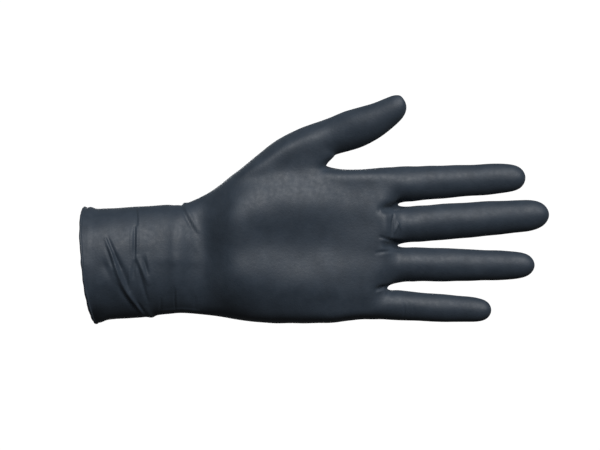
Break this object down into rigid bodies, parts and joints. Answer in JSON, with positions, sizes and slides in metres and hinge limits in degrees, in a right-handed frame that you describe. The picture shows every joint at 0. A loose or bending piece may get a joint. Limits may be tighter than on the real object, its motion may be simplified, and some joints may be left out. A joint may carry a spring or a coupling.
{
  "type": "nitrile exam glove",
  "caption": "Disposable nitrile exam glove in the form it has on a left hand, with a straight cuff and rolled bead; it covers and protects the hand.",
  "frame": {"origin": "middle of the cuff's opening, where the wrist goes in", "axes": "+X from the opening to the fingertips, +Z towards the thumb; the palm faces -Y"},
  "size_m": [0.2401, 0.0484, 0.1167],
  "materials": {
    "nitrile": "matte black dipped film with a fine texture"
  },
  "bodies": {
    "root": {"glove": "nitrile"}
  },
  "joints": []
}
